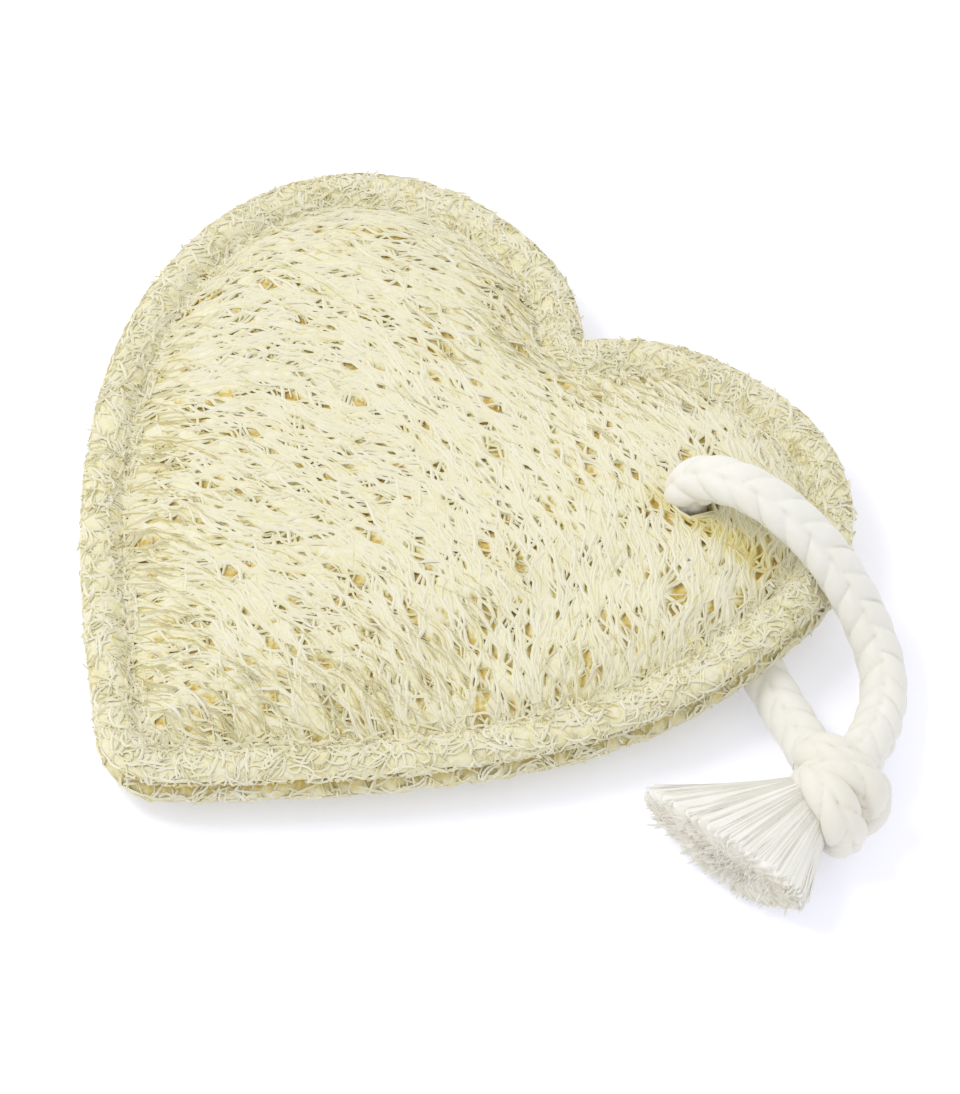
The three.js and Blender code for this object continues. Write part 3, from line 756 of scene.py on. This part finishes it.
# %% Flow of the fibres and field of pores
FLOW_START, FLOW_BY_X, FLOW_BY_Y = math.radians(-0.34), math.radians(-1.007), math.radians(-0.144)
PORE_COUNT = 1700
PORE_STEP = 0.25
PORE_ZONE = 2.4
PORE_HALF_LENGTH, PORE_HALF_WIDTH = 0.95, 0.36
PORE_SIZE_SPREAD = 0.4
PORE_WINDOW = 1.3
PIT_EDGE = 0.05
WANDER_STEP = 9.0
WANDER_TURN = math.radians(15)
WANDER_SEED = 7
WANDER_SIDE = int(2 * GRID_REACH / WANDER_STEP) + 2
WANDER_GRID = np.random.default_rng(WANDER_SEED).normal(0, WANDER_TURN, (WANDER_SIDE, WANDER_SIDE))


def flow_heading(points):
    """The direction of the fibres: it turns evenly across the heart, and wanders a little."""
    wander = read_grid(WANDER_GRID, points, GRID_REACH, WANDER_STEP)
    return FLOW_START + FLOW_BY_X * points[..., 0] + FLOW_BY_Y * points[..., 1] + wander


def pore_field(rng, count):
    """Two grids: sideways pushes, and how deep in a pore each point lies, from 0 to 1. Along a pore its
    half width falls off as a parabola, and within the zone a point's distance from the pore's middle
    line is squeezed to outside that width."""
    ticks = np.arange(-GRID_REACH, GRID_REACH + PORE_STEP, PORE_STEP)
    field = np.zeros((len(ticks), len(ticks), 2))
    pits = np.zeros((len(ticks), len(ticks)))
    centres = rng.uniform([-HALF_WIDTH, -HALF_LENGTH], [HALF_WIDTH, HALF_LENGTH], (count * 2, 2))
    centres = centres[inset(centres) > RIM_WIDTH][:count]
    size = rng.lognormal(0, PORE_SIZE_SPREAD, len(centres))
    for centre, scale in zip(centres, size):
        half_length, half_width = PORE_HALF_LENGTH * scale, PORE_HALF_WIDTH * scale
        low = np.floor((centre - PORE_WINDOW * half_length + GRID_REACH) / PORE_STEP).astype(int)
        high = np.ceil((centre + PORE_WINDOW * half_length + GRID_REACH) / PORE_STEP).astype(int) + 1
        x, y = np.meshgrid(ticks[low[0]:high[0]], ticks[low[1]:high[1]])
        heading = flow_heading(centre)
        along = (x - centre[0]) * math.cos(heading) + (y - centre[1]) * math.sin(heading)
        aside = (y - centre[1]) * math.cos(heading) - (x - centre[0]) * math.sin(heading)
        width = half_width * np.clip(1 - (along / half_length) ** 2, 0, 1)
        zone = PORE_ZONE * width + 1e-6
        push = np.where(np.abs(aside) < zone, width * (1 - np.abs(aside) / zone), 0)
        push = np.where(aside < 0, -push, push)
        window = field[low[1]:high[1], low[0]:high[0]]
        window += push[..., None] * np.array([-math.sin(heading), math.cos(heading)])
        pit = np.clip(1.2 * (1 - (aside / (width + PIT_EDGE)) ** 2), 0, 1) * (width > 0)
        below = pits[low[1]:high[1], low[0]:high[0]]
        np.maximum(below, pit, out=below)
    return field, pits


FRONT_PORE_SEED, BACK_PORE_SEED = 11, 29
FRONT_PORES, FRONT_PITS = pore_field(np.random.default_rng(FRONT_PORE_SEED), PORE_COUNT)
BACK_PORES, BACK_PITS = pore_field(np.random.default_rng(BACK_PORE_SEED), PORE_COUNT)
print("area of the front in pores", round(float((FRONT_PITS > 0.3).sum() * PORE_STEP**2)), "square mm")

# %% [markdown]
# Under the fibres lies a golden bed, the deeper part of the net. Its tint carries painted shade: it
# is lowered in the pores' pits, along the seam's groove, round the rope's hole and beside the rope,
# raised a little on proud lumps, and dark golden on the skin along the split between the sheets.
# Each sheet's bed is one closed skin: rings that grow from the middle of the face to the edge, turn
# round it and come back along the plane where the sheets meet. A ring is the outline drawn in
# towards the heart's centre.

# %% Beds of the two sheets
BED_DEPTH, BED_RIM_DEPTH = 0.1, 0.06
PIT_DEPTH = 0.6
LUMP_STEP = 1.2
LUMP_SEED = 8
LUMP_SIDE = int(2 * GRID_REACH / LUMP_STEP) + 2
LUMP_GRID = np.random.default_rng(LUMP_SEED).normal(0, 1, (LUMP_SIDE, LUMP_SIDE))
FACE_LUMPS, RIM_LUMPS = 0.06, 0.1
SHADE_FROM, SHADE_TO = np.array([32.0, 27.6]), np.array([50.0, 28.2])
SHADE_WIDTH = 3.0
SHADE_TINT = 0.4
SHEET_GAP = 0.3
FUNNEL_DEPTH, FUNNEL_INNER, FUNNEL_OUTER = 2.4, 3.2, 4.8
RING_START, RING_EASE, UNDER_RINGS = 0.002, 1.2, 14
# UNDER_PAINTED_SHADE is the painted shade of the skin along the split between the sheets.
BED_TINT, BED_RIM_TINT, UNDER_PAINTED_SHADE = 0.85, 0.76, 0.2
GROOVE_RUN = 1.6
EDGE_TUCK = 1.8


def rope_shade(points):
    """How golden the net is beside the rope, where light reaches it only off other fibres."""
    return np.exp(-(segment_distance(points, SHADE_FROM, SHADE_TO) / SHADE_WIDTH) ** 2)


def funnel(points):
    """How deep the bed is drawn down round the rope's hole."""
    away = np.linalg.norm(points - HOLE_CENTRE, axis=-1)
    return FUNNEL_DEPTH * (1 - smoothstep(away, FUNNEL_INNER, FUNNEL_OUTER))


def sheet_bed(side, around, rows, pits):
    """Rings of a bed, with pits where the pores are. side is 1 for the front and -1 for the back."""
    outline = heart_outline(around)
    ray = outline - HEART_CENTRE
    ray = ray * (1 - BED_RIM_DEPTH / np.linalg.norm(ray, axis=1, keepdims=True))
    share = 1 - (1 - np.linspace(RING_START, 1, rows)) ** RING_EASE
    face = HEART_CENTRE + share[:, None, None] * ray
    depth = np.maximum(inset(face), 0)
    sunk = BED_RIM_DEPTH + (BED_DEPTH - BED_RIM_DEPTH) * smoothstep(depth, 4, 9)
    pit = read_grid(pits, face, GRID_REACH, PORE_STEP)
    lump = read_grid(LUMP_GRID, face, GRID_REACH, LUMP_STEP)
    inner = smoothstep(depth, RIM_WIDTH - 1, RIM_WIDTH + 2)
    sunk = sunk + PIT_DEPTH * pit - lump * (RIM_LUMPS + (FACE_LUMPS - RIM_LUMPS) * inner)
    if side > 0:
        height = front_height(face, depth) - sunk - funnel(face)
    else:
        height = back_height(face, depth) + sunk
    tuck = np.linspace(1, RING_START, UNDER_RINGS)
    tucked = ray * (1 - EDGE_TUCK / np.linalg.norm(ray, axis=1, keepdims=True))
    under = HEART_CENTRE + tuck[:, None, None] * tucked
    below = MEETING_HEIGHT + lift(under) + side * SHEET_GAP / 2
    rings = np.concatenate([
        np.concatenate([face, height[..., None]], axis=-1),
        np.concatenate([under, below[..., None]], axis=-1),
    ])
    # Painted shade in the tint: lower in the pits, the groove, the hole's funnel and beside the rope, a
    # little higher on proud lumps.
    groove = np.exp(-((depth - RIM_WIDTH) / GROOVE_RUN) ** 2)
    shade = rope_shade(face) if side > 0 else 0
    top = BED_RIM_TINT + (BED_TINT - BED_RIM_TINT) * inner + 0.03 * lump
    top = top - 0.65 * pit - 0.15 * groove - SHADE_TINT * shade - 0.1 * funnel(face)
    tint = np.concatenate([top, np.full(under.shape[:2], UNDER_PAINTED_SHADE)])
    return rings[None], tint


for bed_name, side, node, around, rows, pits in (
    ("bed_front", 1, "loofah_front", 500, 105, FRONT_PITS),
    ("bed_back", -1, "loofah_back", 300, 60, BACK_PITS),
):
    rings, tint = sheet_bed(side, around, rows, pits)
    bed = make_piece(bed_name, skin(rings), bed_material, {"tint": tint})
    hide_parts(node)

# %% [markdown]
# Each fibre is a thin three-sided ridge with pointed ends, half sunk in the bed. That is enough sides: a
# fibre is three pixels wide in the picture. Its layer says how deep it lies, and the tint follows the
# layer: deeper fibres are darker and more golden, which is painted shade. The tint also turns golden
# at the fibre's foot, painted shade that stands in for light shining through thin dry fibres.

# %% Fibres of the two faces
FIBRE_SIDES = 3
FIBRE_SQUASH = 0.5
# FOOT_SHADE is painted shade: tint taken off at two of the three corners of each ring, all but the top one.
FOOT_SHADE = np.array([0.0, 0.34, 0.34])
ROPE_ROOM = 4.1
LEAST_INSET = 1.2
FIBRE_BEND, FIBRE_WIGGLE = math.radians(22), math.radians(9)
FIBRE_RADII = (0.22, 0.42)
TOP_LEVEL, LAYER_DROP, END_SINK, LEVEL_WAVE = 0.06, 0.18, 0.35, 0.05
# LAYER_TINT takes tint off the deeper fibres as painted shade.
TOP_TINT, LAYER_TINT, TINT_SPREAD = 1.02, 0.3, 0.06


def walk_fibres(rng, count, steps, lean, length):
    """Lines that start anywhere in the heart and walk along the flow, each with its own lean and bend.
    Those that leave the heart are dropped."""
    here = rng.uniform([-HALF_WIDTH, -HALF_LENGTH], [HALF_WIDTH, HALF_LENGTH], (count, 2))
    own_lean = rng.normal(0, lean, count)
    bend = rng.normal(0, FIBRE_BEND, count)
    wave = rng.uniform(0, 2 * np.pi, count)
    stride = rng.uniform(*length, count) / steps
    line = np.empty((count, steps + 1, 2))
    for step in range(steps + 1):
        line[:, step] = here
        share = step / steps - 0.5
        angle = flow_heading(here) + own_lean + bend * share + FIBRE_WIGGLE * np.sin(wave + 7 * share)
        here = here + stride[:, None] * np.stack([np.cos(angle), np.sin(angle)], axis=1)
    return line[inset(line).min(axis=1) > LEAST_INSET]


def keep_off_rope(line):
    """Lines pushed out of the rope's hole."""
    away = line - HOLE_CENTRE
    distance = np.linalg.norm(away, axis=-1, keepdims=True)
    return np.where(distance < ROPE_ROOM, HOLE_CENTRE + away / np.maximum(distance, 0.1) * ROPE_ROOM, line)


def face_fibres(rng, line, side, pores):
    """Tubes along lines on a face. A fibre's layer and its slow wave up and down set its depth."""
    line = keep_off_rope(line + read_grid(pores, line, GRID_REACH, PORE_STEP))
    depth = inset(line)
    count = len(line)
    share = np.linspace(0, 1, line.shape[1])[None]
    layer = rng.uniform(0, 1, (count, 1))
    phase = rng.uniform(0, 2 * np.pi, (count, 1))
    wave = LEVEL_WAVE * np.sin(phase + rng.uniform(4, 9, (count, 1)) * share)
    sink = END_SINK * (2 * share - 1) ** 4
    level = TOP_LEVEL - LAYER_DROP * layer + wave - sink
    radii = rng.uniform(*FIBRE_RADII, (count, 1)) * (1 - 0.55 * np.abs(2 * share - 1) ** 3)
    if side > 0:
        height = front_height(line, depth) + level
    else:
        height = np.maximum(back_height(line, depth) - level, radii + 0.03)
    centres = np.concatenate([line, height[..., None]], axis=-1)
    tint = TOP_TINT - LAYER_TINT * layer + rng.normal(0, TINT_SPREAD, (count, 1)) + 0 * share
    if side > 0:
        tint = tint - SHADE_TINT * rope_shade(line)
    return tube_rings(centres, radii, FIBRE_SIDES, FIBRE_SQUASH), tint[:, :, None] - FOOT_SHADE


def fibre_piece(name, rings, tint, node):
    """A piece of fibres that stands for a sheet together with its bed."""
    piece = make_piece(name, skin(rings), fibre_material, {"tint": tint}, smooth=False)
    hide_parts(node)
    return piece


FACE_LAYERS = (
    {"name": "fibres_front_long", "side": 1, "seed": 21,
     "count": 5100, "steps": 8, "lean": 14, "length": (6, 12)},
    {"name": "fibres_front_short", "side": 1, "seed": 22,
     "count": 5200, "steps": 5, "lean": 24, "length": (3, 7)},
    {"name": "fibres_back", "side": -1, "seed": 31,
     "count": 3500, "steps": 7, "lean": 18, "length": (7, 14)},
)
for layer in FACE_LAYERS:
    rng = np.random.default_rng(layer["seed"])
    line = walk_fibres(rng, layer["count"], layer["steps"], math.radians(layer["lean"]), layer["length"])
    front = layer["side"] > 0
    rings, tint = face_fibres(rng, line, layer["side"], FRONT_PORES if front else BACK_PORES)
    fibre_piece(layer["name"], rings, tint, "loofah_front" if front else "loofah_back")

# %% [markdown]
# The rim is where both sheets are rolled over and sewn. Its fibres are short and curly and cross in all
# directions. They are drawn on the unrolled rim, along it and across it, and then carried round
# the rim's section. At the notch the outline turns sharply, so its corner gets a fan of sections.

# %% Rim fibres
RIM_STEPS = 5
RIM_OUTLINE_POINTS, NOTCH_FAN = 1600, 26
RIM_PROFILE_POINTS = 90
RIM_FIBRE_LENGTH = (1.8, 5.0)
RIM_FIBRE_RADII = (0.2, 0.36)
RAGGED_SHARE = 0.2
# RIM_LAYER_TINT takes tint off the deeper rim fibres as painted shade.
RIM_TOP_TINT, RIM_LAYER_TINT, RIM_TINT_SPREAD = 1.02, 0.24, 0.07


def rim_sections():
    """Points of the outline with their inward directions. Where the outline turns into the notch, the
    directions between the two sides are filled in."""
    outline = heart_outline(RIM_OUTLINE_POINTS)
    along = unit(np.roll(outline, -1, axis=0) - np.roll(outline, 1, axis=0))
    inward = np.stack([-along[:, 1], along[:, 0]], axis=1)
    notch = int(np.argmin(np.hypot(outline[:, 0], outline[:, 1] - NOTCH_Y)))
    turn = np.linspace(0, 1, NOTCH_FAN)[:, None]
    fan = unit(inward[notch - 2] * (1 - turn) + inward[notch + 2] * turn)
    corner = np.repeat(outline[notch][None], len(fan), axis=0)
    places = np.concatenate([outline[:notch - 1], corner, outline[notch + 2:]])
    directions = np.concatenate([inward[:notch - 1], fan, inward[notch + 2:]])
    return places, directions


def rim_profile():
    """The rim's section as (inset, height off the meeting plane), even along its length: from the
    groove over the crest to the edge and in towards the split between the sheets."""
    over = np.linspace(RIM_WIDTH + 1.5, 0, 60)
    top = np.stack([over, thickness(over)], axis=1)
    turn = np.linspace(0, np.pi / 2, 16)[1:]
    edge = np.stack([EDGE_TUCK * (1 - np.cos(turn)), EDGE_THICKNESS * (1 - 0.92 * np.sin(turn))], axis=1)
    line = np.concatenate([top, edge])
    return even_points(np.hstack([line, np.zeros((len(line), 1))]), RIM_PROFILE_POINTS)[:, :2]


RIM_PLACES, RIM_DIRECTIONS = rim_sections()
RIM_PROFILE = rim_profile()
RIM_RUN = route_length(np.hstack([RIM_PROFILE, np.zeros((RIM_PROFILE_POINTS, 1))]))
MID_RIM = RIM_PLACES + RIM_CREST * RIM_DIRECTIONS
MID_STEPS = np.linalg.norm(np.diff(np.vstack([MID_RIM, MID_RIM[:1]]), axis=0), axis=1)
RIM_LENGTH = MID_STEPS.sum()
RIM_TICKS = np.concatenate([[0], np.cumsum(MID_STEPS)])


def rim_point(along, across, off, side):
    """A point of the rim: along it and across its section in millimetres, and off its surface."""
    turn = np.interp(along % RIM_LENGTH, RIM_TICKS, np.arange(len(RIM_TICKS)))
    low = np.floor(turn).astype(int) % len(RIM_PLACES)
    high = (low + 1) % len(RIM_PLACES)
    part = (turn - np.floor(turn))[..., None]
    place = RIM_PLACES[low] * (1 - part) + RIM_PLACES[high] * part
    inward = unit(RIM_DIRECTIONS[low] * (1 - part) + RIM_DIRECTIONS[high] * part)
    ticks = np.linspace(0, RIM_RUN, len(RIM_PROFILE))
    depth = np.interp(across, ticks, RIM_PROFILE[:, 0])
    height = np.interp(across, ticks, RIM_PROFILE[:, 1])
    slope = np.gradient(RIM_PROFILE, axis=0)
    inwards, upwards = (np.interp(across, ticks, slope[:, axis]) for axis in (0, 1))
    lean = unit(np.stack([upwards, -inwards], axis=-1))
    depth = depth + lean[..., 0] * off
    height = height + lean[..., 1] * off
    flat = place + depth[..., None] * inward
    level = MEETING_HEIGHT + lift(flat) + side * (height + SHEET_GAP / 2)
    return np.concatenate([flat, level[..., None]], axis=-1)


def rim_fibres(rng, side, count):
    """Short curly tubes on the rolled rim. Some end off the surface, as ragged tips."""
    share = np.linspace(-0.5, 0.5, RIM_STEPS + 1)[None]
    length = rng.uniform(*RIM_FIBRE_LENGTH, (count, 1))
    heading = rng.uniform(0, np.pi, (count, 1)) + rng.normal(0, 0.8, (count, 1)) * share * 2
    along = rng.uniform(0, RIM_LENGTH, (count, 1)) + np.cumsum(np.cos(heading), axis=1) * length / RIM_STEPS
    across = rng.uniform(0, RIM_RUN, (count, 1)) + np.cumsum(np.sin(heading), axis=1) * length / RIM_STEPS
    across = np.clip(across - np.sin(heading).mean(axis=1, keepdims=True) * length / 2, 0, RIM_RUN)
    layer = rng.uniform(0, 1, (count, 1))
    ragged = rng.uniform(0, 1, (count, 1)) > 1 - RAGGED_SHARE
    tip = np.where(ragged, rng.uniform(0.2, 0.8, (count, 1)), 0) * np.clip(share * 2, 0, 1) ** 2
    off = 0.06 - 0.12 * layer + 0.05 * np.sin(rng.uniform(0, 6, (count, 1)) + 8 * share) + tip
    radii = rng.uniform(*RIM_FIBRE_RADII, (count, 1)) * (1 - 0.5 * np.abs(2 * share) ** 3)
    centres = rim_point(along, across, off, side)
    tint = RIM_TOP_TINT - RIM_LAYER_TINT * layer + rng.normal(0, RIM_TINT_SPREAD, (count, 1)) + 0 * share
    return tube_rings(centres, radii, FIBRE_SIDES, FIBRE_SQUASH), tint[:, :, None] - FOOT_SHADE


for name, side, node, seed, count in (
    ("rim_fibres_front", 1, "loofah_front", 41, 3600),
    ("rim_fibres_back", -1, "loofah_back", 42, 2600),
):
    rings, tint = rim_fibres(np.random.default_rng(seed), side, count)
    fibre_piece(name, rings, tint, node)

# %% [markdown]
# A machine seam holds the sheets together. Its thread lies in the groove and dives into the fibres at
# every stitch, so it is one tube whose height rises and falls with the stitches. Where the rope's
# leg passes under the pad, the seam is left open.

# %% Seam stitches
STITCH_LENGTH = 3.2
THREAD_RADIUS = 0.3
THREAD_FROM_ROPE = 5.0
THREAD_RINGS, THREAD_SIDES = 700, 5
THREAD_SUNK, STITCH_RISE = 0.6, 0.95
THREAD_TINT = 0.7


def seam_line():
    """The groove as points, from one side of the rope's leg round the heart to the other."""
    ring = RIM_PLACES + RIM_WIDTH * RIM_DIRECTIONS
    from_leg = segment_distance(ring, LIFT_FROM, LIFT_TO)
    turned = np.roll(ring, -int(np.argmin(from_leg)), axis=0)
    clear = turned[segment_distance(turned, LIFT_FROM, LIFT_TO) > THREAD_FROM_ROPE]
    return even_points(np.hstack([clear, np.zeros((len(clear), 1))]), THREAD_RINGS)


def seam_stitches(side):
    """A tube along the groove whose height is the rectified wave of the stitches."""
    line = seam_line()
    run = np.linspace(0, route_length(line), len(line))
    rise = np.abs(np.sin(np.pi * run / STITCH_LENGTH)) ** 0.7
    off = SEAM_THICKNESS - THREAD_SUNK + STITCH_RISE * rise
    line[:, 2] = MEETING_HEIGHT + lift(line[:, :2]) + side * off
    radii = np.full((1, len(line)), THREAD_RADIUS)
    return tube_rings(line[None], radii, THREAD_SIDES), np.full((len(line), THREAD_SIDES), THREAD_TINT)


for name, side, node in (
    ("seam_stitches_front", 1, "seam_thread_front"),
    ("seam_stitches_back", -1, "seam_thread_back"),
):
    rings, tint = seam_stitches(side)
    piece = make_piece(name, skin(rings), thread_material, {"tint": tint})
    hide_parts(node)

# %% [markdown]
# The picture is high-key: a white floor, an even white surround and one soft light from the left, so the
# shadows are short, soft and slightly cool. The plain view transform keeps the floor white.

# %% Floor and light
FLOOR_SIZE = 6000
FLOOR_GLOW = 0.28
FLOOR_COLOUR = (0.80, 0.805, 0.90)
WORLD_COLOUR, WORLD_STRENGTH = (0.985, 0.99, 1.0), 0.9
KEY_DIRECTION = Vector((-0.56, -0.27, 1.0)).normalized()
KEY_DISTANCE = 900
KEY_SIZE = 330
KEY_POWER = 2.6
KEY_COLOUR = (1.0, 0.985, 0.95)


def add_floor():
    """A square far larger than the view, with a little light of its own, as a lit white table has."""
    half = FLOOR_SIZE * MM / 2
    mesh = bpy.data.meshes.new("floor")
    corners = [(-half, -half, 0), (half, -half, 0), (half, half, 0), (-half, half, 0)]
    mesh.from_pydata(corners, [], [(0, 1, 2, 3)])
    material = bpy.data.materials.new("floor_white")
    material.use_nodes = True
    shader = material.node_tree.nodes["Principled BSDF"]
    shader.inputs["Base Color"].default_value = (*FLOOR_COLOUR, 1)
    shader.inputs["Emission Color"].default_value = (1, 1, 1, 1)
    shader.inputs["Emission Strength"].default_value = FLOOR_GLOW
    shader.inputs["Roughness"].default_value = 0.9
    shader.inputs["Specular IOR Level"].default_value = 0.0
    mesh.materials.append(material)
    floor = bpy.data.objects.new("floor", mesh)
    bpy.context.collection.objects.link(floor)


def add_light():
    """One square soft light and an even surround."""
    data = bpy.data.lights.new("key", "AREA")
    data.size = KEY_SIZE * MM
    data.energy = KEY_POWER
    data.color = KEY_COLOUR
    key = bpy.data.objects.new("key", data)
    key.location = KEY_DIRECTION * KEY_DISTANCE * MM
    key.rotation_mode = "QUATERNION"
    key.rotation_quaternion = (-KEY_DIRECTION).to_track_quat("-Z", "Y")
    bpy.context.collection.objects.link(key)
    world = bpy.data.worlds.new("surround")
    world.use_nodes = True
    surround = world.node_tree.nodes["Background"]
    surround.inputs["Color"].default_value = (*WORLD_COLOUR, 1)
    surround.inputs["Strength"].default_value = WORLD_STRENGTH
    bpy.context.scene.world = world


add_floor()
add_light()
bpy.context.scene.view_settings.view_transform = "Standard"
